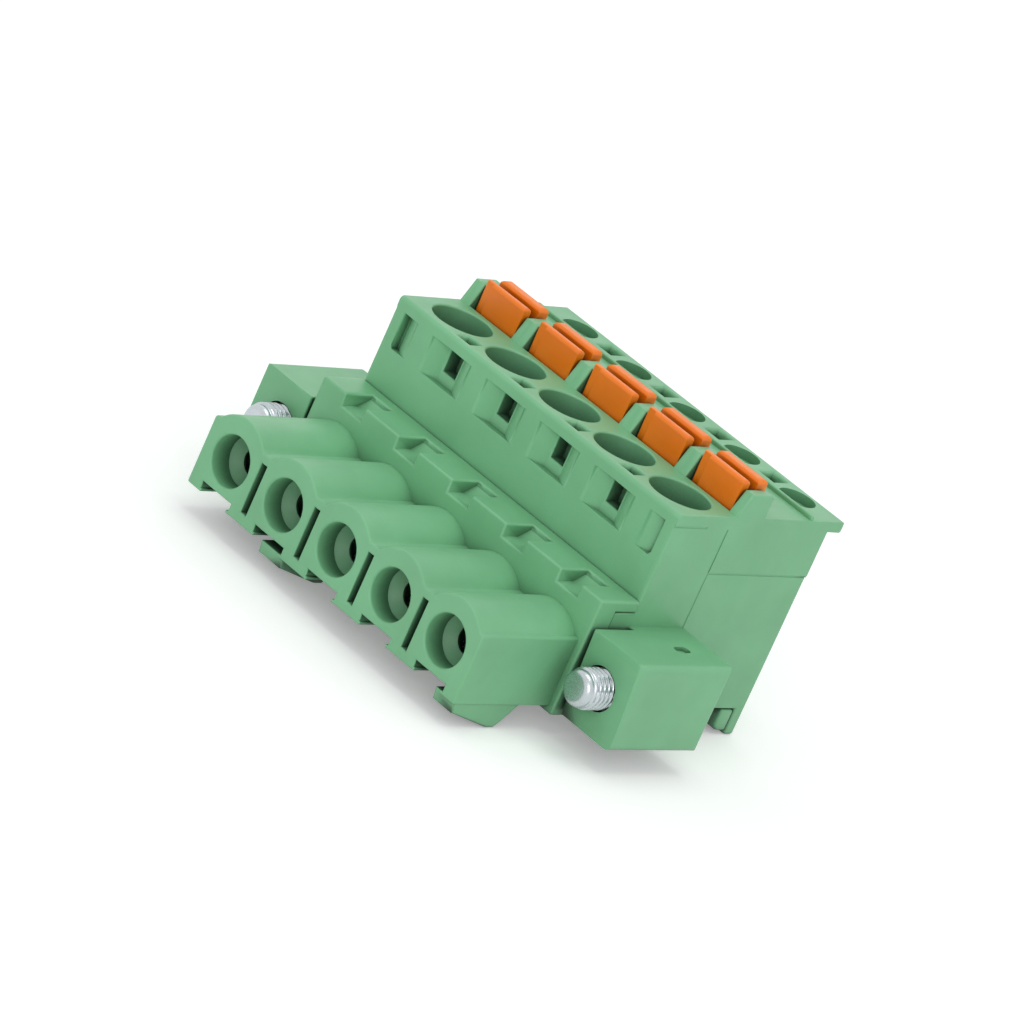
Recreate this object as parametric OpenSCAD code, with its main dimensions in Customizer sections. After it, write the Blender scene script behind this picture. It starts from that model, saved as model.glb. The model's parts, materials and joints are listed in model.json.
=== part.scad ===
// Pluggable terminal block, push-in spring connection, screw flanges at both ends.
//
// Every module draws in the frame of the plug: Y = 0 is the mating face and Y grows towards the
// back, Z = 0 is the axis of the contacts, X = 0 is the middle of the row. place() then sets the
// origin at the middle of the outline on the surface that the part stands on.

/* [Row of poles] */
// Distance from one pole to the next
pitch = 5.08; // [4.95:0.01:5.4]
// Radial room that a turning screw has in its hole
running_gap = 0.08; // [0.02:0.01:0.1]
// Room round a sliding button
slide_gap = 0.12; // [0.08:0.01:0.2]
// Joint line left between the two mouldings
seam_gap = 0.05; // [0.02:0.01:0.1]

/* [Nose that plugs in] */
// Length of the nose from the mating face to the step
nose_len = 8.05; // [7:0.05:9]
// Half width beyond the outermost pole
nose_side = 2.49; // [2.2:0.01:2.7]
// Height of the square shoulders above the contact axis
shoulder_h = 1.78; // [1.5:0.01:1.95]
// Depth of the nose below the contact axis
nose_drop = 2.75; // [2.6:0.01:2.9]
// Radius of the rounded hump over each contact
hump_r = 2.78; // [2.5:0.01:2.9]
// Radius of the socket mouth
socket_r = 1.59; // [1.3:0.01:1.7]
// Depth of the socket mouth
socket_depth = 1.53; // [1:0.01:2]
// Radius of the pin hole behind the mouth
pin_hole_r = 0.85; // [0.75:0.01:1]
// Length of the cone between the mouth and the pin hole
socket_cone = 0.5; // [0.3:0.05:0.8]
// Width of the slot between two poles
slot_w = 0.5; // [0.3:0.05:0.8]
// Height of that slot above the contact axis
slot_top = 1.21; // [0.8:0.01:1.4]
// Depth of that slot below the contact axis
slot_drop = 2.08; // [1.5:0.01:2.3]
// Length of that slot along the nose
slot_len = 6.6; // [4:0.1:7]
// Half width of the coding groove under each pole
groove_half = 1.33; // [1.2:0.01:1.45]
// How far each lip of the groove reaches in
groove_lip = 0.14; // [0:0.01:0.3]
// Height of the coding groove
groove_h = 0.62; // [0.4:0.01:0.75]

/* [Latch noses under the plug] */
// Width of a latch nose
latch_w = 1.8; // [1.5:0.05:2.4]
// Depth of a latch nose below the plug
latch_drop = 1.6; // [1.2:0.05:1.8]
// Length of a latch nose
latch_len = 5.6; // [4.5:0.1:6.5]
// Radius of a latch nose's rounded lower edge
latch_round = 0.9; // [0.5:0.05:1.2]
// How far the right latch nose stands in from the side
latch_inset = 0.1; // [0:0.01:0.3]
// How far the left latch nose reaches under its coding groove
latch_reach = 0.62; // [0.3:0.01:1]

/* [Step between nose and housing] */
// Length of the step
step_len = 3.35; // [3:0.05:4.5]
// Height of the step above the contact axis
step_h = 4.55; // [4.2:0.05:5]
// How much the step stands out beside the housing
step_side = 0.1; // [0:0.01:0.2]
// Half width of the notch in the step
notch_half = 0.92; // [0.7:0.01:1.2]
// Length of the notch
notch_len = 2.3; // [1.5:0.05:2.6]
// How far the notch lies beside its pole's axis
notch_aside = 0.12; // [0:0.01:0.3]
// Depth of the notch
notch_h = 0.85; // [0.5:0.05:1.2]
// Length of the notch's floor in front of its ramp
notch_floor_len = 1.45; // [0.6:0.05:1.8]
// Depth of the notch at the end of its ramp
notch_end_h = 0.35; // [0.2:0.05:0.6]
// Thickness of the bottom plate
plate_h = 1.8; // [1.5:0.05:2.2]
// Length of the pocket under the clamping point that stops the wire
wire_stop_len = 3.6; // [3:0.1:4]
// Depth of that pocket
wire_stop_h = 1.2; // [0.8:0.05:1.4]

/* [Main housing] */
// Half width beyond the outermost pole
body_side = 2.84; // [2.7:0.01:3]
// Length from the front wall to the back wall's outside
body_len = 13.65; // [13.2:0.05:14.5]
// Height of the top face above the contact axis
top_h = 10.3; // [9.8:0.05:11]
// Radius of the rounded edge between front wall and top face
top_round = 0.3; // [0.1:0.05:0.6]
// Thickness of the outer walls
wall = 0.9; // [0.8:0.05:1.1]
// Thickness of the wall between two chambers
pole_wall = 1.08; // [1:0.01:1.2]
// How far the lip at the back stands out
lip_out = 1.15; // [0.9:0.05:1.5]
// Thickness of the lip
lip_h = 0.75; // [0.7:0.05:1.1]
// Thickness of the back wall's foot
foot_t = 0.8; // [0.6:0.05:1]
// Height of the side walls' front ends above the contact axis
wing_h = 3.8; // [3.4:0.05:4.2]
// Length of the side walls' front ends beside the step
wing_len = 1.75; // [1:0.05:2]
// Height of the rail along the back of the bottom plate
rail_h = 0.95; // [0.7:0.05:1]
// Thickness of that rail
rail_t = 1.05; // [0.8:0.05:1.3]
// Radius of the rail's rounded edge
rail_round = 0.4; // [0.2:0.05:0.5]
// Room in front of the rail, in the side walls
rail_room = 0.7; // [0.4:0.05:1]
// Height of the step in the outside of the back wall
back_step_h = 6.5; // [5.5:0.1:7.5]
// Depth of that step
back_step = 0.15; // [0.1:0.01:0.25]
// Depth of the witness lines on the sides
witness = 0.06; // [0.03:0.01:0.1]
// Width of a witness line
witness_w = 0.1; // [0.05:0.01:0.15]
// Distance from the front wall to the upright witness line
witness_y = 4.65; // [4:0.05:5.5]
// Length of the short witness line beside the front wall
witness_len = 2.85; // [2:0.05:3.5]

/* [Wire entries] */
// Radius of the wire entry
wire_r = 1.95; // [1.7:0.01:2]
// Distance from the front wall to the axis of the wire entry
wire_inset = 2.8; // [2.6:0.05:3.2]
// Depth of the straight wire entry
wire_depth = 3.2; // [2.5:0.1:3.8]
// Radius of the throat below it
throat_r = 1.5; // [1.3:0.05:1.6]
// Radius of the round wall in front of each entry
funnel_r = 2.87; // [2.81:0.01:3.2]
// Depth of the relief panel beside that wall
panel_depth = 0.6; // [0.3:0.05:0.8]
// Height of the chamber's ceiling below the top face
ceiling_drop = 4.7; // [4.4:0.05:5]
// Length of the chamber behind the front wall
chamber_len = 10.3; // [10:0.1:10.6]
// Height of the relief panel in the front wall
panel_h = 2.35; // [2:0.05:2.8]
// Distance from the top face down to that panel
panel_drop = 0.8; // [0.6:0.05:1]
// Width of the window between two entries
window_w = 1.1; // [0.8:0.05:1.3]
// Height of that window
window_h = 1.5; // [1:0.05:1.6]
// Depth of that window
window_depth = 1.1; // [0.6:0.05:1.3]
// Depth of the pocket in the top between two entries
top_pocket_depth = 0.6; // [0.4:0.05:0.8]
// Length of that pocket
top_pocket_len = 1; // [0.7:0.05:1.2]

/* [Release buttons] */
// Width of a button
button_w = 3.7; // [3:0.05:3.75]
// Length of a button, front to back
button_len = 2.15; // [1.8:0.05:2.2]
// Thickness of the wall between the wire entry and the button
button_wall = 0.6; // [0.5:0.05:0.8]
// Height of a button above the top face
button_rise = 1.95; // [1.6:0.05:2.2]
// Length of the button's front block
button_block = 0.6; // [0.5:0.05:0.8]
// Width of the groove behind that block
button_groove = 0.7; // [0.3:0.05:0.8]
// Depth of that groove
button_groove_h = 1.1; // [0.6:0.05:1.4]
// How much the rear bar is higher than the front block
button_step = 0.07; // [0:0.01:0.2]
// Way that a button travels
button_travel = 1.2; // [0.8:0.1:1.3]
// Height of the cheeks beside the buttons
cheek_h = 1.5; // [1.2:0.05:1.8]
// Length of a cheek at its foot
cheek_len = 2.47; // [2.3:0.01:2.9]
// Length of the cheek's sloped front
cheek_slope = 0.62; // [0.5:0.01:1.2]
// Radius of the button's rounded upper corners
button_corner = 0.3; // [0.1:0.05:0.5]
// Width of the set-back strip on the button's front
button_strip = 0.65; // [0.3:0.05:0.8]
// Depth of that strip
button_strip_h = 0.1; // [0.05:0.01:0.15]
// Radius of the button's rounded top edges
button_round = 0.25; // [0.05:0.01:0.28]
// Width of the button's lower part
shank_w = 2.4; // [2:0.1:2.8]
// Length of the button's lower part
shank_len = 1.08; // [0.8:0.02:1.2]
// Length of a cheek's back that is cut short of the well
cheek_short = 0.19; // [0.1:0.01:0.4]
// How far the stop on the button reaches back
stop_out = 0.55; // [0.4:0.05:0.7]
// Height of that stop
stop_h = 0.8; // [0.6:0.05:1]

/* [Back strip] */
// Height of the rib in front of the test points
rib_h = 0.28; // [0.2:0.02:0.5]
// Thickness of that rib
rib_t = 0.25; // [0.2:0.01:0.4]
// Radius of the round mouth of a test point
test_mouth_r = 1.2; // [1:0.05:1.3]
// Depth of that mouth
test_mouth_depth = 0.6; // [0.4:0.05:0.65]
// Depth of the test point's pit in front of its mouth's floor
test_pit = 2.2; // [1:0.1:3]
// Thickness of the wall behind that pit
test_wall = 0.4; // [0.3:0.05:0.6]
// Radius of the test bore
test_r = 0.6; // [0.5:0.01:0.65]
// Distance from the test bore's axis to the back face
test_inset = 0.95; // [0.9:0.01:1.1]
// Width of the square pocket between two test points
tag_w = 1.24; // [1:0.02:1.4]
// Depth of that pocket
tag_h = 0.6; // [0.4:0.05:0.65]

/* [Flanges and screws] */
// Length of a flange
flange_len = 8; // [7:0.1:9]
// How far the flange stands back from the step
flange_back = 0.05; // [0:0.05:0.6]
// Width from the screw's axis to the outside
flange_out = 2.5; // [2.4:0.01:2.8]
// Height of the flange above the screw's axis
flange_top = 2.9; // [2.6:0.05:3.1]
// Depth of the flange below the screw's axis
flange_drop = 2.78; // [2.4:0.01:2.9]
// Radius of the flange's rounded long edges
flange_round = 0.45; // [0.3:0.05:0.8]
// Radius of the flange's rounded upright edges
flange_corner = 0.4; // [0.2:0.05:0.8]
// How far the flange's front leans back at its bottom
flange_lean = 0.35; // [0.1:0.05:0.5]
// Radius of the screw's thread
screw_r = 1.25; // [1.1:0.05:1.4]
// Radial room round the thread in the flange's mouth
thread_room = 0.12; // [0.1:0.01:0.15]
// Depth of that mouth
thread_mouth = 0.8; // [0.6:0.05:1.2]
// Radius of the screw's neck in that mouth
neck_r = 1.05; // [1:0.01:1.09]
// How far the neck starts in front of the flange
neck_out = 0.15; // [0.1:0.05:0.3]
// Radius of the screw's plain shank in the flange
shank_r = 1.42; // [1.41:0.01:1.6]
// How far the screw stands out of the flange
screw_out = 1.8; // [1.4:0.1:3]
// Length of the screw's rounded end
screw_end = 0.6; // [0.4:0.05:0.9]
// Width of the gap between flange and step
flange_gap = 0.25; // [0.15:0.05:0.4]
// Radius of the screw's head
head_r = 1.9; // [1.7:0.05:2]
// Height of the screw's head
head_h = 1.8; // [1.4:0.1:2.2]
// Width of the slot in the head
driver_w = 0.5; // [0.4:0.05:0.6]
// Depth of the slot in the head
driver_depth = 0.8; // [0.5:0.05:1]
// Radial room round the head
head_room = 0.15; // [0.1:0.05:0.2]
// Depth of the small recess on top of the flange
dimple_depth = 0.25; // [0.1:0.05:0.4]

/* [Contacts and springs] */
// Thickness of the contact's strip
strip_t = 0.4; // [0.3:0.05:0.5]
// Width of the contact's strip
strip_w = 2.6; // [2.2:0.1:2.8]
// Half height of the chamber that holds the contact
contact_half = 1.35; // [1.3:0.05:1.5]
// Width of the spring fingers of the contact
finger_w = 1.5; // [1.2:0.1:1.8]
// Gap between the fingers at their throat
finger_gap = 0.7; // [0.5:0.05:0.8]
// Length of the box that carries the fingers
box_len = 2.6; // [2:0.1:3]
// Height of the clamping tab above the contact axis
tab_h = 4.6; // [3.5:0.1:5]
// Width of the clamping tab
tab_w = 1.8; // [1.4:0.1:2]
// Thickness of the clamp spring's steel
spring_t = 0.3; // [0.2:0.02:0.4]
// Width of the clamp spring
spring_w = 2.4; // [2:0.1:2.6]
// Radius of the clamp spring's loop, to the middle of the steel
spring_loop_r = 1.05; // [0.95:0.05:1.1]
// Angle of the clamp spring's leg, from level
spring_angle = 33; // [30:0.5:35]
// Radius of the spring's lower bend, to the middle of the steel
spring_bend_r = 0.5; // [0.4:0.05:0.6]
// Thickness of the clip round the fingers
clip_t = 0.2; // [0.15:0.01:0.25]
// Length of the clip round the fingers
clip_len = 3; // [2:0.1:3.2]

/* [Hidden] */
poles = 5;
$fn = 64;
eps = 0.01;
housing_green = [0.45, 0.68, 0.52];
button_orange = [0.90, 0.45, 0.10];
zinc = [0.78, 0.80, 0.82];
tinned = [0.80, 0.79, 0.76];
spring_steel = [0.62, 0.63, 0.65];

// Places across the row
last_pole = (poles - 1) / 2 * pitch;
nose_x = last_pole + nose_side;
body_x = last_pole + body_side;
step_x = body_x + step_side;
screw_x = last_pole + pitch;
flange_x = screw_x + flange_out;
flange_in = step_x + flange_gap;
inner_x = body_x - wall;
plate_x = inner_x - seam_gap;
chamber_half = (pitch - pole_wall) / 2;
well_half = button_w / 2 + slide_gap;
strip_half = strip_w / 2;
bridge_half = groove_half + 0.17;
slot_half = contact_half;

// Places from front to back
chamber_front = socket_depth + socket_cone + 0.2;
wall_y = nose_len + step_len;
wing_y = wall_y - wing_len;
flange_y = nose_len + flange_back;
flange_end = flange_y + flange_len;
back_y = wall_y + body_len;
lip_y = back_y + lip_out;
back_step_y = back_y - back_step;
foot_y = back_step_y - foot_t;
rail_back = foot_y - seam_gap;
rail_y = rail_back - rail_t;
wire_y = wall_y + wire_inset;
well_y = wire_y + wire_r + button_wall;
button_y = well_y + slide_gap;
button_back = button_y + button_len;
well_back = button_back + slide_gap;
shank_back = button_y + shank_len;
stop_back = button_back + stop_out;
stop_room_back = stop_back + 2 * slide_gap;
cheek_back = well_back - cheek_short;
cheek_y = cheek_back - cheek_len;
chamber_y = wall_y + wall;
chamber_back = chamber_y + chamber_len;
test_y = back_y - test_inset;
test_mouth_y = test_y + test_mouth_r - test_r - 0.08;
rib_y = test_mouth_y - test_mouth_r - rib_t - seam_gap;
overall_len = lip_y;

// Places from bottom to top
plate_top = -contact_half;
plate_bottom = plate_top - plate_h;
rail_bottom = plate_bottom - rail_h;
rail_top = plate_bottom + 0.5;
stand_h = nose_drop + latch_drop;
foot_bottom = -stand_h;
button_top = top_h + button_rise;
throat_top = top_h - wire_depth;
throat_cone = throat_top - (wire_r - throat_r);
ceiling = top_h - ceiling_drop;
ledge = ceiling + 2;
stop_top = ledge - seam_gap;
cheek_top = top_h + cheek_h;
panel_top = top_h - panel_drop;
panel_bottom = panel_top - panel_h;
window_top = panel_top - 0.15;
window_bottom = window_top - window_h;
notch_floor = step_h - notch_h;

// Contact and springs, in the section from front to back
strip_top = plate_top + strip_t;
strip_front = chamber_front + 0.35;
strip_back = test_y + test_r / 2;
box_front = wall_y - box_len - 0.2;
box_back = box_front + box_len;
box_half = contact_half - seam_gap;
tab_y = wall_y + 1.1;
tab_back = tab_y + strip_t;
window_back = stop_back - 1;
clip_y = strip_front + 0.6;
loop_y = chamber_back - spring_loop_r - spring_t / 2 - 0.5;
loop_z = tab_h - 1.25;
leg_y = loop_y - spring_loop_r * sin(spring_angle);
leg_z = loop_z + spring_loop_r * cos(spring_angle);
leg_len = (leg_y - tab_back - 0.12) / cos(spring_angle);
spring_foot_z = strip_top + spring_t / 2;
spring_rear_y = loop_y + spring_loop_r;
leg_top_at_shank = leg_z - (leg_y - shank_back) * tan(spring_angle) + spring_t / 2 / cos(spring_angle);
shank_bottom = leg_top_at_shank + 0.1;

// Screw
head_y = flange_end - head_h - 0.15;
sink_y = head_y - seam_gap;
screw_tip = flange_y - screw_out;
shoulder_y = flange_y + thread_mouth;
neck_y = flange_y - neck_out;

function pole_x(i) = (i - (poles + 1) / 2) * pitch;

module place() {
    translate([0, -overall_len / 2, stand_h])
        children();
}

module block(x, y, z) {
    translate([x[0], y[0], z[0]])
        cube([x[1] - x[0], y[1] - y[0], z[1] - z[0]]);
}

// A section seen from the side, drawn out from x[0] to x[1]
module along_x(x) {
    translate([x[0], 0, 0])
        rotate([90, 0, 90])
        linear_extrude(x[1] - x[0])
        children();
}

// A section seen from the front, drawn out from y[0] to y[1]
module along_y(y) {
    translate([0, y[1], 0])
        rotate([90, 0, 0])
        linear_extrude(y[1] - y[0])
        children();
}

module bore_y(r, y) {
    translate([0, y[0], 0])
        rotate([-90, 0, 0])
        cylinder(r=r, h=y[1] - y[0]);
}

module bore_z(r, y, z) {
    translate([0, y, z[0]])
        cylinder(r=r, h=z[1] - z[0]);
}

module at_poles() {
    for (i = [1 : poles])
        translate([pole_x(i), 0, 0])
        children();
}

module at_gaps() {
    for (i = [1 : poles - 1])
        translate([pole_x(i) + pitch / 2, 0, 0])
        children();
}

module both_ends() {
    children();
    mirror([1, 0, 0])
        children();
}

// Rectangle with two rounded corners at its low side (b = true) or high side
module soft_rect(u, v, r, low) {
    flat = low ? [v[0] + r, v[1]] : [v[0], v[1] - r];
    round_v = low ? v[0] + r : v[1] - r;
    translate([u[0], flat[0]])
        square([u[1] - u[0], flat[1] - flat[0]]);
    translate([u[0] + r, v[0]])
        square([u[1] - u[0] - 2 * r, v[1] - v[0]]);
    translate([u[0] + r, round_v])
        circle(r);
    translate([u[1] - r, round_v])
        circle(r);
}

// ---- Front moulding ----

module nose_body() {
    along_y([0, nose_len + eps]) {
        translate([-nose_x, -nose_drop])
            square([2 * nose_x, nose_drop + shoulder_h]);
        for (i = [1 : poles])
            intersection() {
                translate([pole_x(i), 0])
                    circle(hump_r);
                translate([-nose_x, 0])
                    square([2 * nose_x, 2 * hump_r]);
            }
    }
}

module step_body() {
    block([-step_x, step_x], [nose_len, wing_y], [plate_bottom, step_h]);
    block([-step_x, step_x], [wing_y - eps, wall_y], [wing_h, step_h]);
    block([-plate_x, plate_x], [wing_y - eps, wall_y], [plate_bottom, step_h]);
}

module bottom_plate() {
    block([-plate_x, plate_x], [wall_y - eps, rail_back], [plate_bottom, plate_top]);
    along_x([-body_x, body_x]) {
        translate([rail_y + rail_round, rail_bottom])
            square([rail_t - rail_round, rail_top - rail_bottom]);
        translate([rail_y, rail_bottom + rail_round])
            square([rail_t, rail_top - rail_bottom - rail_round]);
        translate([rail_y + rail_round, rail_bottom + rail_round])
            circle(rail_round);
    }
}

module pin_way() {
    bore_y(socket_r, [-eps, socket_depth]);
    translate([0, socket_depth - eps, 0])
        rotate([-90, 0, 0])
        cylinder(r1=socket_r, r2=pin_hole_r, h=socket_cone);
    bore_y(pin_hole_r, [socket_depth, chamber_front + eps]);
    block([-contact_half, contact_half], [chamber_front, wall_y + eps], [plate_top, contact_half]);
}

module coding_groove() {
    mouth = groove_half - groove_lip;
    groove_y = [-eps, nose_len - 0.4];
    block([-groove_half, groove_half], groove_y, [-nose_drop + 0.2, -nose_drop + groove_h]);
    block([-mouth, mouth], groove_y, [-nose_drop - eps, -nose_drop + groove_h]);
}

module step_notch() {
    notch_back = nose_len + notch_len;
    along_x([notch_aside - notch_half, notch_aside + notch_half])
        polygon([
            [nose_len - eps, notch_floor], [nose_len + notch_floor_len, notch_floor],
            [notch_back, step_h - notch_end_h], [notch_back, step_h + eps], [nose_len - eps, step_h + eps]
        ]);
}

module wire_stop() {
    block([-1, 1], [tab_back, tab_back + wire_stop_len], [plate_top - wire_stop_h, plate_top + eps]);
}

module latch_nose(x) {
    top = -nose_drop + 0.1;
    intersection() {
        along_x(x)
            polygon([
                [0.2, top], [0.24, -nose_drop - 0.05], [0.41, -nose_drop - 0.69],
                [latch_len * 2 / 3, foot_bottom], [latch_len * 7 / 9, foot_bottom],
                [latch_len * 6 / 7, foot_bottom + 0.38], [latch_len + 0.3, top]
            ]);
        along_y([0, latch_len + 1])
            soft_rect([x[0], x[1] + latch_round], [foot_bottom, top + eps], latch_round, true);
    }
}

module front_housing() {
    color(housing_green) place() {
        difference() {
            union() {
                nose_body();
                step_body();
                bottom_plate();
            }
            at_poles() {
                pin_way();
                coding_groove();
                step_notch();
                wire_stop();
            }
            at_gaps()
                block([-slot_w / 2, slot_w / 2], [-eps, slot_len], [-slot_drop, slot_top]);
        }
        latch_nose([nose_x - latch_inset - latch_w, nose_x - latch_inset]);
        latch_nose([-pitch - latch_reach, -pitch + bridge_half]);
    }
}

// ---- Main moulding ----

module shell() {
    along_x([-body_x, body_x]) {
        translate([wall_y + top_round, top_h - top_round])
            circle(top_round);
        polygon([
            [wall_y, plate_top], [wall_y, top_h - top_round], [wall_y + top_round, top_h - top_round],
            [wall_y + top_round, top_h], [lip_y, top_h], [lip_y, top_h - lip_h],
            [back_y, top_h - lip_h], [back_y, back_step_h], [back_step_y, back_step_h],
            [back_step_y, foot_bottom], [foot_y, foot_bottom], [foot_y, plate_top]
        ]);
    }
}

module side_wall() {
    along_x([inner_x, body_x])
        polygon([
            [wing_y + seam_gap, plate_bottom], [wing_y + seam_gap, wing_h - seam_gap],
            [wall_y + wall, wing_h - seam_gap], [wall_y + wall, plate_top + eps],
            [foot_y + eps, plate_top + eps], [foot_y + eps, rail_top + seam_gap],
            [rail_y - rail_room, rail_top + seam_gap], [rail_y - rail_room, plate_bottom]
        ]);
}

module flange() {
    side = flange_x - flange_round;
    end = flange_x - flange_corner;
    difference() {
        union() {
            intersection() {
                along_y([flange_y, flange_end]) {
                    translate([flange_in, -flange_drop])
                        square([side - flange_in, flange_drop + flange_top]);
                    translate([flange_in, flange_round - flange_drop])
                        square([flange_x - flange_in, flange_drop + flange_top - 2 * flange_round]);
                    translate([side, flange_top - flange_round])
                        circle(flange_round);
                    translate([side, flange_round - flange_drop])
                        circle(flange_round);
                }
                translate([0, 0, -flange_drop])
                    linear_extrude(flange_drop + flange_top) {
                        translate([flange_in, flange_y])
                            square([end - flange_in, flange_len]);
                        translate([flange_in, flange_y + flange_corner])
                            square([flange_x - flange_in, flange_len - 2 * flange_corner]);
                        translate([end, flange_y + flange_corner])
                            circle(flange_corner);
                        translate([end, flange_end - flange_corner])
                            circle(flange_corner);
                    }
            }
            block([body_x - eps, flange_in + eps], [wall_y, flange_end], [-flange_drop, flange_top]);
        }
        translate([screw_x, 0, 0]) {
            bore_y(screw_r + thread_room, [flange_y - eps, shoulder_y + eps]);
            bore_y(shank_r + running_gap, [shoulder_y, flange_end]);
            bore_y(head_r + head_room, [sink_y, flange_end + eps]);
        }
        along_x([flange_in - eps, flange_x + eps])
            polygon([
                [flange_y - eps, flange_top + eps], [flange_y + flange_lean, -flange_drop - eps],
                [flange_y - 1, -flange_drop - eps]
            ]);
        dimple();
    }
}

module dimple() {
    y = flange_y + flange_len * 0.68;
    z = [flange_top - dimple_depth, flange_top + eps];
    translate([screw_x + 0.35, 0, 0]) {
        bore_z(0.35, y - 0.25, z);
        bore_z(0.35, y + 0.25, z);
        block([-0.35, 0.35], [y - 0.25, y + 0.25], z);
    }
}

module cheek(x) {
    along_x(x)
        polygon([
            [cheek_y, top_h - eps], [cheek_y + cheek_slope, cheek_top],
            [cheek_back, cheek_top], [cheek_back, top_h - eps]
        ]);
}

module pole_inside() {
    block([-chamber_half, chamber_half], [chamber_y, chamber_back], [plate_top - eps, ceiling]);
    block([-chamber_half, chamber_half], [well_y, stop_room_back], [ceiling - eps, ledge]);
    bore_z(wire_r, wire_y, [throat_top, top_h + eps]);
    translate([0, wire_y, throat_cone])
        cylinder(r1=throat_r, r2=wire_r, h=throat_top - throat_cone);
    bore_z(throat_r, wire_y, [ceiling - eps, throat_cone + eps]);
    block([-well_half, well_half], [well_y, well_back], [ledge - eps, top_h + eps]);
    block([-slot_half, slot_half], [wall_y - eps, strip_back + seam_gap], [plate_top - eps, strip_top + seam_gap]);
    bore_z(test_r, test_y, [strip_top, top_h]);
    bore_z(test_mouth_r, test_mouth_y, [top_h - test_mouth_depth, top_h + eps]);
    intersection() {
        bore_z(test_mouth_r, test_mouth_y, [top_h - test_pit, top_h]);
        block([-pitch / 2, pitch / 2], [rib_y, back_y - test_wall], [0, top_h]);
    }
}

module relief() {
    z = [panel_bottom, panel_top];
    y = [wall_y - eps, wall_y + panel_depth];
    difference() {
        block([-last_pole - pitch / 2, last_pole + pitch / 2], y, z);
        at_poles()
            bore_z(funnel_r, wire_y, z);
        both_ends()
            block([inner_x, flange_x], y, z);
    }
}

module between_poles() {
    half = window_w / 2;
    front = wall_y + panel_depth;
    block([-half, half], [front - eps, front + window_depth], [window_bottom, window_top]);
    block([-half, half], [front, front + top_pocket_len], [top_h - top_pocket_depth, top_h + eps]);
    block([-tag_w / 2, tag_w / 2], [back_y - tag_w / 2, back_y + tag_w / 2], [top_h - tag_h, top_h + eps]);
}

module witness_lines() {
    x = [body_x - witness, body_x + eps];
    panel_y = wall_y + witness_y;
    block(x, [panel_y, panel_y + witness_w], [flange_top, panel_top]);
    block(x, [panel_y, back_y + eps], [back_step_h, back_step_h + witness_w]);
    block(x, [wall_y, wall_y + witness_len], [panel_top, panel_top + witness_w]);
}

module main_housing() {
    color(housing_green) place() difference() {
        union() {
            shell();
            both_ends() {
                side_wall();
                flange();
                cheek([last_pole + well_half, body_x]);
            }
            at_gaps()
                cheek([well_half - pitch / 2, pitch / 2 - well_half]);
            block([-body_x + 0.1, body_x - 0.1], [rib_y, rib_y + rib_t], [top_h - eps, top_h + rib_h]);
        }
        at_poles()
            pole_inside();
        at_gaps()
            between_poles();
        relief();
        both_ends()
            witness_lines();
    }
}

// ---- Release button ----

module button(i) {
    half = button_w / 2;
    low = shank_w / 2;
    foot = stop_top - stop_h;
    groove_y = button_y + button_block;
    rear_y = groove_y + button_groove;
    rear_top = button_top + button_step;
    color(button_orange) place() translate([pole_x(i), 0, 0]) difference() {
        union() {
            intersection() {
                along_x([-half, half]) {
                    soft_rect([button_y, groove_y], [foot, button_top], button_round, false);
                    soft_rect([rear_y, button_back], [foot, rear_top], button_round, false);
                    translate([groove_y - eps, foot])
                        square([button_groove + 2 * eps, button_top - button_groove_h - foot]);
                }
                along_y([button_y, button_back])
                    soft_rect([-half, half], [foot, rear_top], button_corner, false);
            }
            block([-low, low], [button_back - eps, stop_back], [foot, stop_top]);
            block([-low, low], [button_y, shank_back], [shank_bottom, stop_top]);
        }
        block([-half - eps, button_strip - half], [button_y - eps, button_y + button_strip_h], [0, button_top + eps]);
    }
}

// ---- Contact ----

// Section of the lower finger; its mirror image is the upper one
module finger_section() {
    throat = -finger_gap / 2;
    polygon([
        [box_front + eps, plate_top + seam_gap], [box_front + eps, plate_top + seam_gap + strip_t],
        [strip_front + 1.3, throat], [strip_front + 0.7, throat], [strip_front, throat - 0.35],
        [strip_front, throat - 0.35 - strip_t], [strip_front + 0.7, throat - strip_t],
        [strip_front + 1.3, throat - strip_t]
    ]);
}

module contact(i) {
    tab_half = tab_w / 2;
    color(tinned) place() translate([pole_x(i), 0, 0]) {
        along_x([-finger_w / 2, finger_w / 2]) {
            finger_section();
            mirror([0, 1])
                finger_section();
        }
        difference() {
            union() {
                block([-box_half, box_half], [box_front, box_back], [plate_top, box_half]);
                block([-strip_half, strip_half], [box_front, strip_back], [plate_top, strip_top]);
            }
            block(
                [strip_t - box_half, box_half - strip_t], [box_front - eps, box_back + eps],
                [strip_top, box_half - strip_t]
            );
            block([-tab_half, tab_half], [tab_y, window_back], [plate_top - eps, strip_top + eps]);
        }
        block([-tab_half - eps, tab_half + eps], [tab_y, tab_back], [plate_top, strip_top]);
        block([-tab_half, tab_half], [tab_y, tab_back], [strip_top - eps, tab_h]);
    }
}

// ---- Clip round the fingers ----

module over_spring(i) {
    outer = box_half;
    inner = outer - clip_t;
    color(spring_steel) place() translate([pole_x(i), 0, 0]) difference() {
        block([-outer, outer], [clip_y, clip_y + clip_len], [-outer, outer]);
        block([-inner, inner], [clip_y - eps, clip_y + clip_len + eps], [-inner, inner]);
    }
}

// ---- Clamp spring ----

module ring(r) {
    difference() {
        circle(r + spring_t / 2);
        circle(r - spring_t / 2);
    }
}

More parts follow.
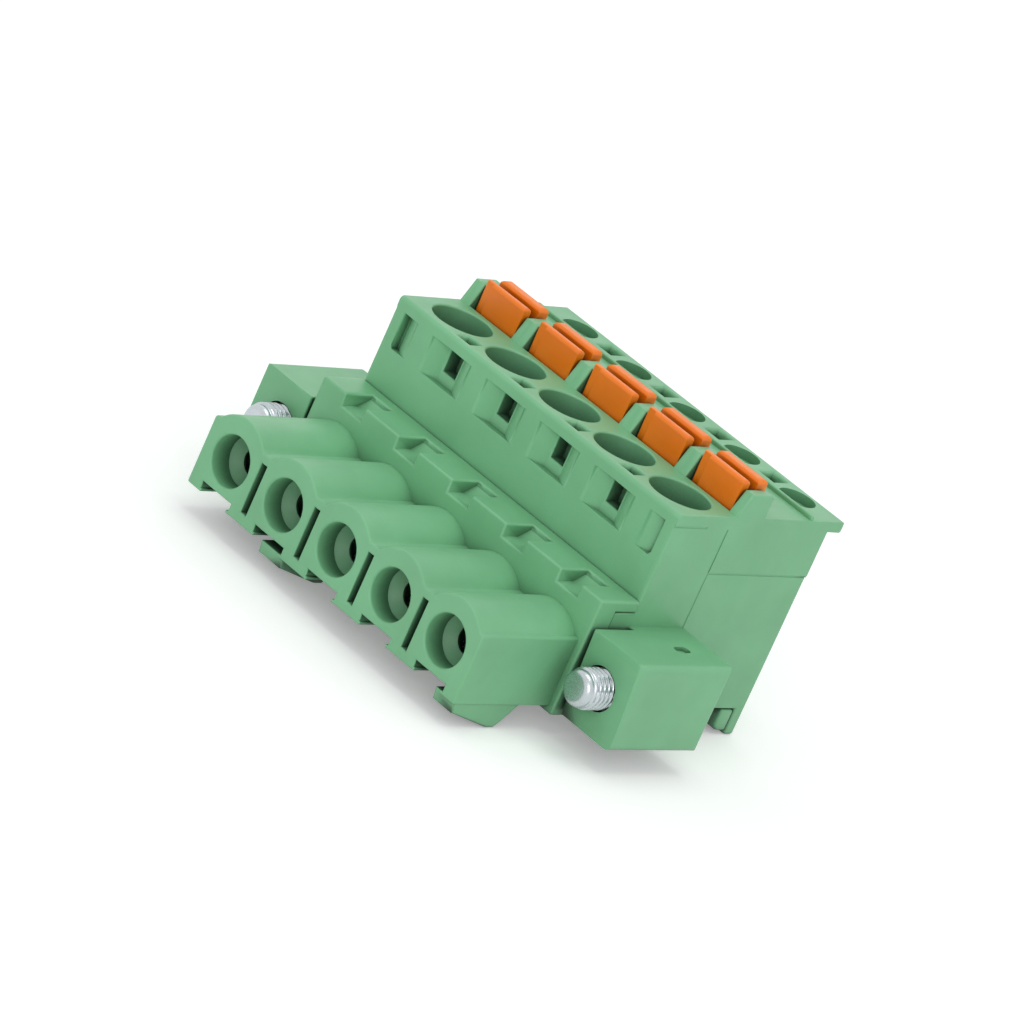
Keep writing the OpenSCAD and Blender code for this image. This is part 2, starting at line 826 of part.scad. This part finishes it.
module clamp_spring(i) {
    t = spring_t / 2;
    reach = 2 * spring_loop_r;
    bend_y = spring_rear_y - spring_bend_r;
    bend_z = spring_foot_z + spring_bend_r;
    color(spring_steel) place() translate([pole_x(i), 0, 0])
        along_x([-spring_w / 2, spring_w / 2]) {
            translate([leg_y, leg_z])
                rotate(180 + spring_angle)
                translate([-eps, -t])
                square([leg_len + eps, spring_t]);
            translate([loop_y, loop_z])
                intersection() {
                    ring(spring_loop_r);
                    polygon([
                        [0, 0], [reach, 0], [reach, reach], [-reach * sin(spring_angle), reach],
                        [-reach * sin(spring_angle), reach * cos(spring_angle)]
                    ]);
                }
            translate([spring_rear_y - t, bend_z])
                square([spring_t, loop_z - bend_z]);
            translate([bend_y, bend_z])
                intersection() {
                    ring(spring_bend_r);
                    translate([0, -reach])
                        square([reach, reach]);
                }
            translate([window_back - 0.8, strip_top])
                square([bend_y - window_back + 0.8, spring_t]);
        }
}

// ---- Flange screw ----

module flange_screw(side) {
    color(zinc) place() translate([side * screw_x, 0, 0]) difference() {
        union() {
            translate([0, screw_tip, 0])
                rotate([-90, 0, 0])
                cylinder(r1=screw_r - 0.45, r2=screw_r, h=screw_end);
            bore_y(screw_r, [screw_tip + screw_end - eps, neck_y]);
            bore_y(neck_r, [neck_y - eps, shoulder_y + seam_gap + eps]);
            bore_y(shank_r, [shoulder_y + seam_gap, head_y + eps]);
            bore_y(head_r, [head_y, head_y + head_h]);
        }
        block(
            [-head_r - eps, head_r + eps],
            [head_y + head_h - driver_depth, head_y + head_h + eps], [-driver_w / 2, driver_w / 2]
        );
    }
}

front_housing();
main_housing();
button(1);  // button_1
button(2);  // button_2
button(3);  // button_3
button(4);  // button_4
button(5);  // button_5
contact(1);  // contact_1
contact(2);  // contact_2
contact(3);  // contact_3
contact(4);  // contact_4
contact(5);  // contact_5
over_spring(1);  // over_spring_1
over_spring(2);  // over_spring_2
over_spring(3);  // over_spring_3
over_spring(4);  // over_spring_4
over_spring(5);  // over_spring_5
clamp_spring(1);  // clamp_spring_1
clamp_spring(2);  // clamp_spring_2
clamp_spring(3);  // clamp_spring_3
clamp_spring(4);  // clamp_spring_4
clamp_spring(5);  // clamp_spring_5
flange_screw(-1);  // flange_screw_left
flange_screw(1);  // flange_screw_right
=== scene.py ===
"""Looks of the pluggable terminal block.

Moulded polyamide housings and push buttons, zinc plated screws, tinned contacts, steel springs.
"""

import json
import math

import bmesh
import bpy
from mathutils import Euler, Matrix, Vector
from mathutils.bvhtree import BVHTree

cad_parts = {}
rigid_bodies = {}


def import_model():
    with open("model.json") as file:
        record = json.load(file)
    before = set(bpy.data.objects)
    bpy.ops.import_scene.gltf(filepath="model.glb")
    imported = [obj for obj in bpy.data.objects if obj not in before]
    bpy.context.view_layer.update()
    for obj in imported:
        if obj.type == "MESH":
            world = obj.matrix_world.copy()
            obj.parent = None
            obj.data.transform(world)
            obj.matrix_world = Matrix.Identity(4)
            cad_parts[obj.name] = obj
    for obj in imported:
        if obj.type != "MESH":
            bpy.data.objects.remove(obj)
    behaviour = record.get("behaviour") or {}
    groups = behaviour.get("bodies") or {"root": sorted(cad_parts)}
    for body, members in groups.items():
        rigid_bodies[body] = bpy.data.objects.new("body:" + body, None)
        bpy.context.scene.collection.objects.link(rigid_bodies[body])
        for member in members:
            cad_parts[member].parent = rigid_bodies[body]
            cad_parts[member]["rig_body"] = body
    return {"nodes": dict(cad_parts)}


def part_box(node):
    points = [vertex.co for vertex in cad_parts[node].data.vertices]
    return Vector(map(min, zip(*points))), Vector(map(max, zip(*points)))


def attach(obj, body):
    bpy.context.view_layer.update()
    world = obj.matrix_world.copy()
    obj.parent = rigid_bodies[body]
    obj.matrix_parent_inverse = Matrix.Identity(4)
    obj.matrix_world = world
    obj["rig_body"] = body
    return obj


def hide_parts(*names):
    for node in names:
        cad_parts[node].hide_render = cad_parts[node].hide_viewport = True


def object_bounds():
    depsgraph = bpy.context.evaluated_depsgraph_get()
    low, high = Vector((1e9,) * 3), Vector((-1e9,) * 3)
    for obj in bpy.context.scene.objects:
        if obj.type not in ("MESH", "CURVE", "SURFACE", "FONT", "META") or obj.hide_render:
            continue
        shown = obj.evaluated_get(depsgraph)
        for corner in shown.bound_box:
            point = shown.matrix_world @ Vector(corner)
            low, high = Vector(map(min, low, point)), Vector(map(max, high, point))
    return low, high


MM = 0.001

# Row of poles, in millimetres
POLES = 5
PITCH = 5.08
CONTACT_Z = 4.35  # height of the contacts' axis
TEST_BORE_Y = 10.3  # middle of the test openings

# Edge radii that the moulds and the stamping tools leave, in millimetres
HOUSING_RADIUS = 0.16
BUTTON_RADIUS = 0.14
STAMPED_RADIUS = 0.05
CLIP_RADIUS = 0.04
LEAST_RADIUS = 0.02  # below this an edge stays as sharp as it is drawn
WELD = 0.0008  # points closer than this are one point
FLAT_ANGLE = 0.5  # degrees between faces that count as one flat face
SHARP_ANGLE = 34  # degrees from which an edge is rounded
CHAIN_ANGLE = 25  # degrees up to which two edges run on as one line
# Where the walls are cut, across each axis: every pole, every gap between two, and the openings
HOUSING_MIDDLES = [
    [n * PITCH / 2 for n in range(-POLES - 1, POLES + 2)], [TEST_BORE_Y], [CONTACT_Z],
]

# Flange screw, in millimetres; the lengths run along its axis from the tip
THREAD_R = 1.25
THREAD_DEPTH = 0.17
THREAD_PITCH = 0.36
THREAD_START = 0.14  # how much thinner the first turn is
THREAD_RINGS = 10  # rings in one turn of the thread
TIP_FLAT_R = 0.7
TIP_ROUND = 0.38
TIP_RINGS = 6
COLLAR_R = 1.42
COLLAR_AT = 2.65
COLLAR_GAP = 0.05  # end of the thread in front of the collar
HEAD_R = 1.9
HEAD_H = 1.8
HEAD_EDGE = 0.16
HEAD_EDGE_STEP = 0.05
HEAD_SLOT_W = 0.5
HEAD_SLOT_DEPTH = 0.8
RIM = 0.06  # bevel at the front of the collar and of the head
TURNED_SIDES = 48
CRISP_ANGLE = 40  # degrees from which a turned edge stays crisp

# Camera: a long lens, tilted about its own axis; places in millimetres
CAMERA_AT = Vector((257.23, -318.12, 147.63)) * MM
CAMERA_LOOKS_AT = Vector((0.31, -0.13, 7.50)) * MM
CAMERA_ROLL = 24.354
CAMERA_LENS = 257.77
CAMERA_SENSOR = 36
CAMERA_NEAR = 0.01
CAMERA_FAR = 10

# Lamps: name, place from the object's middle in metres, side in metres, watts
LAMPS = [
    ("top_softbox", (0.0, 0.0, 0.9), 0.5, 1.6),
    ("rear_softbox", (-0.5, 0.5, 0.6), 0.5, 0.4),
    ("front_softbox", (0.6, -0.7, 0.35), 0.5, 2.1),
]
ROOM_LEVEL = 0.69
FLOOR_GLOW = 0.25
FLOOR_HALF = 1.2  # half the floor's side, in metres
FLOOR_GAP = 0.02  # millimetres between the feet and the floor


# ---- Colours, nodes and materials ----


def linear(hex_code):
    """An sRGB hex colour as the linear RGBA that Blender's sockets take."""
    values = [int(hex_code[i : i + 2], 16) / 255 for i in (1, 3, 5)]
    lit = [v / 12.92 if v <= 0.04045 else ((v + 0.055) / 1.055) ** 2.4 for v in values]
    return lit + [1.0]


def mottled(base, amount):
    """The same hex colour, lighter or darker by a share of itself."""
    values = [int(base[i : i + 2], 16) for i in (1, 3, 5)]
    return "#" + "".join(f"{max(0, min(255, round(v * (1 + amount)))):02x}" for v in values)


def add(tree, kind, settings=None, in_order=(), **inputs):
    """Adds a node with its settings. Inputs are values or sockets, by name or in their order."""
    node = tree.nodes.new(kind)
    for name, value in (settings or {}).items():
        setattr(node, name, value)
    wanted = [(node.inputs[place], value) for place, value in enumerate(in_order)]
    wanted += [(node.inputs[name.replace("_", " ")], value) for name, value in inputs.items()]
    for socket, value in wanted:
        if isinstance(value, bpy.types.NodeSocket):
            tree.links.new(value, socket)
        else:
            socket.default_value = value
    return node


def empty_tree(owner):
    """The node tree of a material or a world, without its first nodes."""
    owner.use_nodes = True
    owner.node_tree.nodes.clear()
    return owner.node_tree


def new_material(name):
    """A material with its tree and its Principled shader, linked to the output."""
    material = bpy.data.materials.new(name)
    tree = empty_tree(material)
    shader = add(tree, "ShaderNodeBsdfPrincipled")
    add(tree, "ShaderNodeOutputMaterial", Surface=shader.outputs[0])
    return material, tree, shader


def bump(tree, shader, layers):
    """Chains height textures into the shader's normal. A layer is (height socket, depth in mm)."""
    normal = None
    for height, depth in layers:
        node = add(tree, "ShaderNodeBump", Height=height, Distance=depth * MM, Strength=1.0)
        if normal:
            tree.links.new(normal, node.inputs["Normal"])
        normal = node.outputs[0]
    tree.links.new(normal, shader.inputs["Normal"])


def moulded_plastic(name, colour, roughness, pit_mm, swirl):
    """Injection moulded polyamide: satin from the spark-eroded mould, faintly clouded."""
    material, tree, shader = new_material(name)
    place = add(tree, "ShaderNodeTexCoord").outputs["Object"]

    # The melt's flow leaves clouds a few millimetres across, seen only as a slight change of tone
    clouds = add(
        tree, "ShaderNodeTexNoise", Vector=place, Scale=1 / (4.5 * MM), Detail=3.0, Roughness=0.55
    )
    tone = add(tree, "ShaderNodeValToRGB", Fac=clouds.outputs["Fac"])
    for stop, position, amount in zip(tone.color_ramp.elements, (0.3, 0.72), (-swirl, swirl)):
        stop.position = position
        stop.color = linear(mottled(colour, amount))

    # Painted shade: deep openings hold little light, so the base colour is darkened in them
    painted_shade_ao = add(tree, "ShaderNodeAmbientOcclusion", {"samples": 8}, Distance=5.0 * MM)
    shade = add(
        tree, "ShaderNodeMapRange", Value=painted_shade_ao.outputs["AO"],
        From_Min=0.1, From_Max=0.55, To_Min=0.08, To_Max=1.0,
    )
    painted_shade_colour = add(
        tree, "ShaderNodeVectorMath", {"operation": "SCALE"}, (tone.outputs["Color"],),
        Scale=shade.outputs["Result"],
    )
    tree.links.new(painted_shade_colour.outputs[0], shader.inputs["Base Color"])

    # The mould is worn in patches, so the gloss varies a little from place to place
    patches = add(tree, "ShaderNodeTexNoise", Vector=place, Scale=1 / (1.8 * MM), Detail=2.0)
    gloss = add(
        tree, "ShaderNodeMapRange", Value=patches.outputs["Fac"],
        From_Min=0.3, From_Max=0.7, To_Min=roughness - 0.05, To_Max=roughness + 0.06,
    )
    tree.links.new(gloss.outputs["Result"], shader.inputs["Roughness"])

    # Spark erosion leaves round pits, drawn somewhat coarser than they are so that they show.
    # Sink and draft make broad, very shallow waves in the flat walls.
    pits = add(
        tree, "ShaderNodeTexNoise",
        Vector=place, Scale=1 / (pit_mm * MM), Detail=2.0, Roughness=0.5,
    )
    waves = add(tree, "ShaderNodeTexNoise", Vector=place, Scale=1 / (3.2 * MM), Detail=1.0)
    bump(tree, shader, [(pits.outputs["Fac"], 0.006), (waves.outputs["Fac"], 0.02)])

    # Polyamide lets a little light in, which softens its edges
    shader.inputs["IOR"].default_value = 1.53
    shader.inputs["Subsurface Weight"].default_value = 0.08
    shader.inputs["Subsurface Radius"].default_value = (0.35, 0.6, 0.4)
    shader.inputs["Subsurface Scale"].default_value = 0.5 * MM
    return material


def plated_metal(name, colour, roughness, grain_mm, stretch, depth_mm):
    """Drawn or stamped metal: a fine grain that runs along the strip, and faintly stained."""
    material, tree, shader = new_material(name)
    place = add(tree, "ShaderNodeTexCoord").outputs["Object"]
    drawn = add(tree, "ShaderNodeMapping", Vector=place, Scale=(1.0, stretch, 1.0))
    grain = add(
        tree, "ShaderNodeTexNoise",
        Vector=drawn.outputs[0], Scale=1 / (grain_mm * MM), Detail=3.0,
    )
    stain = add(tree, "ShaderNodeTexNoise", Vector=place, Scale=1 / (0.9 * MM), Detail=2.0)
    tone = add(tree, "ShaderNodeValToRGB", Fac=stain.outputs["Fac"])
    for stop, amount in zip(tone.color_ramp.elements, (-0.06, 0.05)):
        stop.color = linear(mottled(colour, amount))
    tree.links.new(tone.outputs["Color"], shader.inputs["Base Color"])
    gloss = add(
        tree, "ShaderNodeMapRange", Value=grain.outputs["Fac"],
        To_Min=roughness - 0.08, To_Max=roughness + 0.1,
    )
    tree.links.new(gloss.outputs["Result"], shader.inputs["Roughness"])
    bump(tree, shader, [(grain.outputs["Fac"], depth_mm)])
    shader.inputs["Metallic"].default_value = 1.0
    return material


# ---- Moulded and stamped pieces with their edge radii ----


def new_object(name, mesh):
    """An object of that mesh in the scene."""
    made = bpy.data.objects.new(name, mesh)
    bpy.context.scene.collection.objects.link(made)
    return made


def dress(piece, material):
    """Gives the piece that one material."""
    piece.data.materials.clear()
    piece.data.materials.append(material)


def gap_beside(edge, face, room):
    """Width that the face leaves for a radius along its edge: a share of the way to its others."""
    share_of_rounded, share_of_plain = 0.36, 0.7
    facing = 0.6  # least share of the way that runs straight in from the edge
    loop = next(corner for corner in edge.link_loops if corner.face == face)
    start, end = loop.vert.co, loop.link_loop_next.vert.co
    run = end - start
    inward = face.normal.cross(run).normalized()
    nearest = 1.0
    for other in face.edges:
        if other is edge:
            continue
        first, last = (vert.co for vert in other.verts)
        span = last - first
        share = share_of_rounded if other in room else share_of_plain
        if other not in room and set(other.verts) & set(edge.verts):
            # A corner slides along this edge, the further the flatter the angle is
            nearest = min(nearest, share * span.cross(run.normalized()).length)
        beside = [
            (vert.co - start).dot(run) / max(run.length_squared, 1e-18) for vert in other.verts
        ]
        for along in [0.2, 0.5, 0.8] + [place for place in beside if 0.02 < place < 0.98]:
            spot = start.lerp(end, along)
            across = (spot - first).dot(span) / max(span.length_squared, 1e-18)
            reach = first + span * max(0.0, min(1.0, across)) - spot
            if reach.dot(inward) > facing * reach.length:
                nearest = min(nearest, reach.length * share)
    return nearest


def opening_beside(edge, walls):
    """Distance across the slot or window that the edge borders, if there is one."""
    lift, inset, look = 0.005 * MM, 0.1 * MM, 2 * MM
    middle = (edge.verts[0].co + edge.verts[1].co) / 2
    nearest = 1.0
    for face, other in (edge.link_faces, reversed(edge.link_faces)):
        start = middle + face.normal * lift - other.normal * inset
        distance = walls.ray_cast(start, face.normal, look)[3]
        if distance:
            nearest = min(nearest, distance)
    return nearest


def edge_radii(bm, radius, inner):
    """The radius that each sharp edge has room for, the same along a smooth chain of edges."""
    share_of_opening = 0.15
    walls = BVHTree.FromBMesh(bm)
    room = {}
    for edge in bm.edges:
        if len(edge.link_faces) != 2 or not (inner or edge.is_convex):
            continue
        if edge.calc_face_angle(0) > math.radians(SHARP_ANGLE):
            room[edge] = min(radius, share_of_opening * opening_beside(edge, walls))
    for face in bm.faces:
        for edge in face.edges:
            if edge in room:
                room[edge] = min(room[edge], gap_beside(edge, face, room))
    waiting = list(room)
    while waiting:
        following = []
        for edge in waiting:
            for vert in edge.verts:
                for other in vert.link_edges:
                    if other is edge or room.get(other, 0.0) <= room[edge] * 1.001:
                        continue
                    before = edge.other_vert(vert).co - vert.co
                    after = vert.co - other.other_vert(vert).co
                    if before.angle(after, 0) < math.radians(CHAIN_ANGLE):
                        room[other] = room[edge]
                        following.append(other)
        waiting = following
    return {edge: width for edge, width in room.items() if width > LEAST_RADIUS * MM}


def cut_through(bm, middles):
    """Cuts flat walls through the middle of their openings, so that no face has a hole in it."""
    for axis, places in enumerate(middles):
        for place in places:
            normal = Vector([k == axis for k in range(3)])
            cut = bmesh.ops.bisect_plane(
                bm, geom=bm.verts[:] + bm.edges[:] + bm.faces[:], dist=WELD * MM,
                plane_co=normal * place * MM, plane_no=normal,
            )
            for part in cut["geom_cut"]:
                if isinstance(part, bmesh.types.BMEdge):
                    part.seam = True


def softened(node, material, radius, middles=(), inner=True, segments=2):
    """A copy of a CAD node with the small radius on its edges; it stands for that node."""
    source = frame["nodes"][node]
    piece = new_object(node + "_moulded", source.data.copy())
    bm = bmesh.new()
    bm.from_mesh(piece.data)
    bmesh.ops.remove_doubles(bm, verts=bm.verts, dist=WELD * MM)
    bmesh.ops.dissolve_degenerate(bm, edges=bm.edges, dist=WELD * MM)
    cut_through(bm, middles)
    bmesh.ops.dissolve_limit(
        bm, angle_limit=math.radians(FLAT_ANGLE), verts=bm.verts, edges=bm.edges,
        delimit={"SEAM"},
    )
    weight = bm.edges.layers.float.new("bevel_weight_edge")
    radii = edge_radii(bm, radius * MM, inner)
    for edge in bm.edges:
        edge[weight] = radii.get(edge, 0.0) / (radius * MM)
        edge.smooth = edge in radii or edge.calc_face_angle(0) < math.radians(SHARP_ANGLE)
    for face in bm.faces:
        face.smooth = True
    bm.to_mesh(piece.data)
    bm.free()
    dress(piece, material)
    rounding = piece.modifiers.new("edge_radius", "BEVEL")
    rounding.width = radius * MM
    rounding.segments = segments
    rounding.limit_method = "WEIGHT"
    rounding.miter_outer = "MITER_ARC"
    rounding.use_clamp_overlap = False
    flat = piece.modifiers.new("flat_walls", "WEIGHTED_NORMAL")
    flat.mode = "FACE_AREA"
    flat.weight = 100
    flat.keep_sharp = True
    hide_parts(node)
    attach(piece, source["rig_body"])
    return piece


# ---- Flange screws ----


def turned(name, sections):
    """Closed turned solid along +Y. A section is (distance, radius, depth of the thread there)."""
    bm = bmesh.new()
    rings = []
    for distance, radius, depth in sections:
        ring = []
        for k in range(TURNED_SIDES):
            share = k / TURNED_SIDES
            phase = (distance / THREAD_PITCH - share) % 1.0
            # Rolled thread: flat crest, sloped flanks, round root
            cut = min(1.0, max(0.0, 2.4 * abs(2 * phase - 1) - 0.5))
            r = (radius - depth * cut) * MM
            angle = 2 * math.pi * share
            ring.append(bm.verts.new((r * math.cos(angle), distance * MM, r * math.sin(angle))))
        rings.append(ring)
    for low, high in zip(rings, rings[1:]):
        for k in range(TURNED_SIDES):
            n = (k + 1) % TURNED_SIDES
            bm.faces.new((low[k], low[n], high[n], high[k]))
    bm.faces.new(list(reversed(rings[0])))
    bm.faces.new(rings[-1])
    bmesh.ops.recalc_face_normals(bm, faces=bm.faces)
    mesh = bpy.data.meshes.new(name)
    bm.to_mesh(mesh)
    bm.free()
    return new_object(name, mesh)


def screw_sections(length):
    """Rounded end, thread that fades in and out, plain collar, and a head with a rounded edge."""
    sections = []
    for k in range(TIP_RINGS + 1):
        turn = k / TIP_RINGS * math.pi / 2
        radius = TIP_FLAT_R + (THREAD_R - THREAD_START - TIP_FLAT_R) * math.sin(turn)
        sections.append((TIP_ROUND * (1 - math.cos(turn)), radius, 0.0))
    step = THREAD_PITCH / THREAD_RINGS
    count = int((COLLAR_AT - TIP_ROUND - COLLAR_GAP) / step)
    for k in range(1, count + 1):
        radius = THREAD_R - THREAD_START * (1 - min(1.0, k / 8))
        fade = min(1.0, k / 10, (count + 1 - k) / 6)
        sections.append((TIP_ROUND + k * step, radius, THREAD_DEPTH * fade))
    head_at = length - HEAD_H
    return sections + [
        (COLLAR_AT, THREAD_R, 0.0),
        (COLLAR_AT, COLLAR_R - RIM, 0.0),
        (COLLAR_AT + RIM, COLLAR_R, 0.0),
        (head_at, COLLAR_R, 0.0),
        (head_at, HEAD_R - RIM, 0.0),
        (head_at + RIM, HEAD_R, 0.0),
        (length - HEAD_EDGE, HEAD_R, 0.0),
        (length - HEAD_EDGE_STEP, HEAD_R - HEAD_EDGE_STEP, 0.0),
        (length, HEAD_R - HEAD_EDGE, 0.0),
    ]


def cut_slot(piece, length):
    """Cuts the screwdriver's slot across the head."""
    cutter_length, cutter_height = 4 * HEAD_R * MM, 2 * MM
    mesh = bpy.data.meshes.new(piece.name + "_slot")
    bm = bmesh.new()
    bmesh.ops.create_cube(bm, size=1)
    bm.transform(
        Matrix.Translation((0, (length - HEAD_SLOT_DEPTH) * MM + cutter_height / 2, 0))
        @ Matrix.Diagonal((cutter_length, cutter_height, HEAD_SLOT_W * MM, 1))
    )
    bm.to_mesh(mesh)
    bm.free()
    cutter = new_object(mesh.name, mesh)
    carve = piece.modifiers.new("slot", "BOOLEAN")
    carve.operation = "DIFFERENCE"
    carve.object = cutter
    carve.solver = "EXACT"
    bpy.context.view_layer.update()
    finished = piece.evaluated_get(bpy.context.evaluated_depsgraph_get())
    carved = bpy.data.meshes.new_from_object(finished)
    piece.modifiers.clear()
    piece.data = carved
    bpy.data.objects.remove(cutter)


def mark_smooth(piece):
    """Smooth shading, with the sharpest edges left crisp."""
    bm = bmesh.new()
    bm.from_mesh(piece.data)
    for face in bm.faces:
        face.smooth = True
    for edge in bm.edges:
        if len(edge.link_faces) == 2 and edge.calc_face_angle(0) > math.radians(CRISP_ANGLE):
            edge.smooth = False
    bm.to_mesh(piece.data)
    bm.free()


def screw(side, node, material):
    """Captive flange screw: rolled thread with a rounded end, plain collar, slotted head."""
    low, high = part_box(node)
    length = (high.y - low.y) / MM
    tip = Vector(((low.x + high.x) / 2, low.y, (low.z + high.z) / 2))
    piece = turned(node + "_turned", screw_sections(length))
    cut_slot(piece, length)
    dress(piece, material)
    piece.data.transform(Matrix.Translation(tip))
    mark_smooth(piece)
    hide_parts(node)
    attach(piece, f"screw_{side}")
    return piece


# ---- Floor, light and camera ----


def directly_seen(tree):
    """One for a ray from the camera, off metal or through glass; nought for light on the object."""
    rays = add(tree, "ShaderNodeLightPath")
    seen = rays.outputs["Is Camera Ray"]
    for kind in ("Is Glossy Ray", "Is Transmission Ray"):
        either = add(
            tree, "ShaderNodeMath", {"operation": "MAXIMUM"}, (seen, rays.outputs[kind])
        )
        seen = either.outputs[0]
    return seen


def lay_floor(low):
    """Pale paper under the object: it keeps the shadow, and looks white to the camera."""
    h = FLOOR_HALF
    mesh = bpy.data.meshes.new("floor")
    mesh.from_pydata([(-h, -h, 0), (h, -h, 0), (h, h, 0), (-h, h, 0)], [], [(0, 1, 2, 3)])
    floor = new_object("floor", mesh)
    floor.location.z = low[2] - FLOOR_GAP * MM
    material = bpy.data.materials.new("pale_paper_floor")
    tree = empty_tree(material)
    paper = add(tree, "ShaderNodeBsdfDiffuse", Color=linear("#f4f4f2"))
    glow = add(tree, "ShaderNodeEmission", Color=linear("#ffffff"), Strength=FLOOR_GLOW)
    lit = add(tree, "ShaderNodeAddShader", None, (paper.outputs[0], glow.outputs[0]))
    mix = add(
        tree, "ShaderNodeMixShader", None,
        (directly_seen(tree), paper.outputs[0], lit.outputs[0]),
    )
    add(tree, "ShaderNodeOutputMaterial", Surface=mix.outputs[0])
    mesh.materials.append(material)


def light_room():
    """A white surround to look at and for metal to mirror, which lights the object less."""
    world = bpy.data.worlds.new("studio")
    bpy.context.scene.world = world
    tree = empty_tree(world)
    white = add(tree, "ShaderNodeBackground", Color=linear("#ffffff"), Strength=1.0)
    room = add(tree, "ShaderNodeBackground", Color=linear("#f3f6f8"), Strength=ROOM_LEVEL)
    mix = add(
        tree, "ShaderNodeMixShader", None,
        (directly_seen(tree), room.outputs[0], white.outputs[0]),
    )
    add(tree, "ShaderNodeOutputWorld", Surface=mix.outputs[0])


def hang_lamps(middle):
    """Square softboxes that all face the object's middle."""
    for name, spot, size, watts in LAMPS:
        lamp = bpy.data.lights.new(name, "AREA")
        lamp.shape = "SQUARE"
        lamp.size = size
        lamp.energy = watts
        lamp.color = linear("#ffffff")[:3]
        holder = new_object(name, lamp)
        holder.location = Vector(spot) + middle
        holder.rotation_euler = (-Vector(spot)).to_track_quat("-Z", "Y").to_euler()


def place_camera():
    """The long lens, aimed and then rolled."""
    lens = bpy.data.cameras.new("camera")
    lens.lens = CAMERA_LENS
    lens.sensor_width = CAMERA_SENSOR
    lens.clip_start = CAMERA_NEAR
    lens.clip_end = CAMERA_FAR
    camera = new_object("camera", lens)
    aim = (CAMERA_LOOKS_AT - CAMERA_AT).to_track_quat("-Z", "Y").to_matrix().to_4x4()
    roll = Euler((0, 0, math.radians(CAMERA_ROLL))).to_matrix().to_4x4()
    camera.matrix_world = Matrix.Translation(CAMERA_AT) @ aim @ roll
    bpy.context.scene.camera = camera


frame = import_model()
cad_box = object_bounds()
lowest, highest = cad_box

bpy.context.scene.view_settings.view_transform = "Standard"
lay_floor(lowest)
light_room()
hang_lamps(Vector([(a + b) / 2 for a, b in zip(lowest, highest)]))
place_camera()

# Green polyamide: satin, a little milky, with tone clouds from the flow of the melt
housing = moulded_plastic("polyamide_green_satin_moulded", "#77b888", 0.42, 0.12, 0.035)
# Orange polyamide from a finer mould: slightly glossier, strong even colour
button = moulded_plastic("polyamide_orange_satin_moulded", "#fd7e02", 0.38, 0.10, 0.03)
# Zinc plating on rolled thread: cool bright silver with a soft cast
zinc = plated_metal("steel_zinc_plated_rolled", "#c3cace", 0.27, 0.06, 0.6, 0.004)
# Tin on stamped copper alloy: warmer and duller white, grain along the strip
tinned = plated_metal("copper_alloy_tinned_stamped", "#c9c6bf", 0.3, 0.05, 0.2, 0.003)
# Stainless spring strip: darker grey, with the fine lines of rolling
spring = plated_metal("spring_steel_stainless_rolled", "#b4b6b8", 0.27, 0.04, 0.15, 0.002)

for shell in ("main_housing", "front_housing"):
    softened(shell, housing, HOUSING_RADIUS, HOUSING_MIDDLES, inner=False)
for pole in range(1, POLES + 1):
    softened(f"button_{pole}", button, BUTTON_RADIUS)
    softened(f"contact_{pole}", tinned, STAMPED_RADIUS, segments=1)
    softened(f"over_spring_{pole}", spring, CLIP_RADIUS, segments=1)
    softened(f"clamp_spring_{pole}", spring, STAMPED_RADIUS, segments=1)
for side in ("left", "right"):
    screw(side, f"flange_screw_{side}", zinc)
